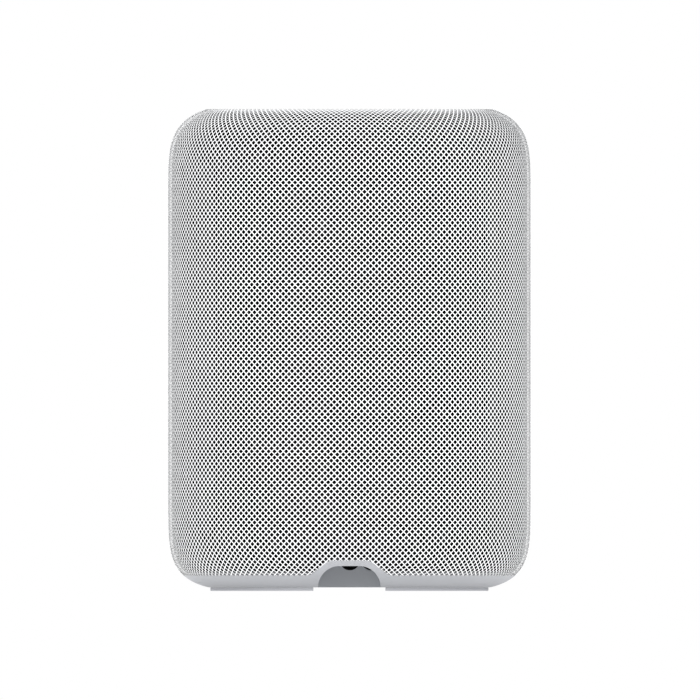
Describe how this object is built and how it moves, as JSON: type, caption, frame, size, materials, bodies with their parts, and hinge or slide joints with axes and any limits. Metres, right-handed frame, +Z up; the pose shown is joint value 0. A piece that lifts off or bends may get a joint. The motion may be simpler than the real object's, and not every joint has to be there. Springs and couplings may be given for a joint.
{
  "type": "smart speaker",
  "caption": "Upright wireless smart speaker: a rounded-square column in a fine mesh sleeve, on a smooth base with a cable recess, with its drivers and electronics inside.",
  "frame": {"origin": "centre of the footprint on the surface that the foot pads stand on", "axes": "+Z up along the column, -Y towards the front where the woofer fires, +Y towards the cable recess"},
  "size_m": [0.146, 0.146, 0.194],
  "materials": {
    "mesh_white": "fine perforated sleeve, satin white",
    "shell_grey": "satin moulded plastic, light cool grey",
    "recess_grey": "satin moulded plastic, mid grey",
    "button_grey": "satin moulded plastic, mid grey",
    "foot_rubber": "matt silicone, light grey",
    "top_panel": "smooth satin touch panel, white",
    "lens": "milky light pipe",
    "socket_black": "matt black moulded plastic",
    "pin_metal": "nickel plated",
    "screw_steel": "zinc plated",
    "liner_black": "matt black scrim shell",
    "cage_black": "matt black moulded cage",
    "box_black": "ribbed black plastic",
    "seal_rubber": "soft black rubber",
    "driver_frame": "black powder coat",
    "cone_paper": "pressed paper fibre, dark",
    "coil_copper": "enamelled copper wire",
    "spider_cloth": "resin-stiffened woven cloth",
    "plate_steel": "zinc plated mild steel",
    "ferrite": "sintered ferrite",
    "circuit_board": "green solder mask",
    "sensor_film": "amber polyimide film",
    "sink_aluminium": "extruded, bare",
    "winding_tape": "yellow winding tape",
    "capacitor_sleeve": "dark shrink sleeve"
  },
  "bodies": {
    "cabinet": {"acoustic_liner": "liner_black", "antenna_left": "coil_copper", "antenna_right": "coil_copper", "base_housing": "shell_grey", "base_screw_1": "screw_steel", "base_screw_2": "screw_steel", "base_screw_3": "screw_steel", "base_screw_4": "screw_steel", "bottom_cover": "shell_grey", "cable_recess": "recess_grey", "control_board": "circuit_board", "enclosure_front": "box_black", "enclosure_rear": "box_black", "enclosure_seal": "seal_rubber", "foot_left": "foot_rubber", "foot_right": "foot_rubber", "heat_sink": "sink_aluminium", "inlet_pin_1": "pin_metal", "inlet_pin_2": "pin_metal", "left_driver_basket": "driver_frame", "left_driver_magnet": "ferrite", "left_driver_surround": "seal_rubber", "line_in_jack": "socket_black", "main_board": "circuit_board", "mains_inlet": "socket_black", "mesh_sleeve": "mesh_white", "microphone_1": "screw_steel", "microphone_2": "screw_steel", "microphone_3": "screw_steel", "microphone_4": "screw_steel", "port_board": "circuit_board", "power_board": "circuit_board", "reservoir_capacitor": "capacitor_sleeve", "right_driver_basket": "driver_frame", "right_driver_magnet": "ferrite", "right_driver_surround": "seal_rubber", "setup_switch": "socket_black", "sleeve_cage": "cage_black", "status_light_guide": "lens", "status_light_lens": "lens", "top_cover": "top_panel", "top_housing": "cage_black", "touch_sensor_sheet": "sensor_film", "transformer": "winding_tape", "woofer_basket": "driver_frame", "woofer_gasket": "seal_rubber", "woofer_magnet": "ferrite", "woofer_spider": "spider_cloth", "woofer_surround": "seal_rubber", "woofer_top_plate": "plate_steel", "woofer_yoke": "plate_steel"},
    "woofer_cone_assembly": {"woofer_cone": "cone_paper", "woofer_dust_cap": "cone_paper", "woofer_voice_coil": "coil_copper"},
    "left_diaphragm": {"left_driver_diaphragm": "cone_paper"},
    "right_diaphragm": {"right_driver_diaphragm": "cone_paper"},
    "setup_button": {"setup_button": "button_grey"}
  },
  "joints": [
    {"name": "woofer_travel", "type": "slide", "parent": "cabinet", "child": "woofer_cone_assembly", "axis": [0, -1, 0], "range_m": [-0.005, 0.005], "stiffness_N_per_m": 500},
    {"name": "left_diaphragm_travel", "type": "slide", "parent": "cabinet", "child": "left_diaphragm", "axis": [-0.4226, -0.9063, 0], "range_m": [-0.0015, 0.0015], "stiffness_N_per_m": 150},
    {"name": "right_diaphragm_travel", "type": "slide", "parent": "cabinet", "child": "right_diaphragm", "axis": [0.4226, -0.9063, 0], "range_m": [-0.0015, 0.0015], "stiffness_N_per_m": 150},
    {"name": "setup_button_press", "type": "slide", "parent": "cabinet", "child": "setup_button", "axis": [0, -1, 0], "range_m": [0, 0.0005], "stiffness_N_per_m": 100, "springref_m": -0.0005}
  ]
}
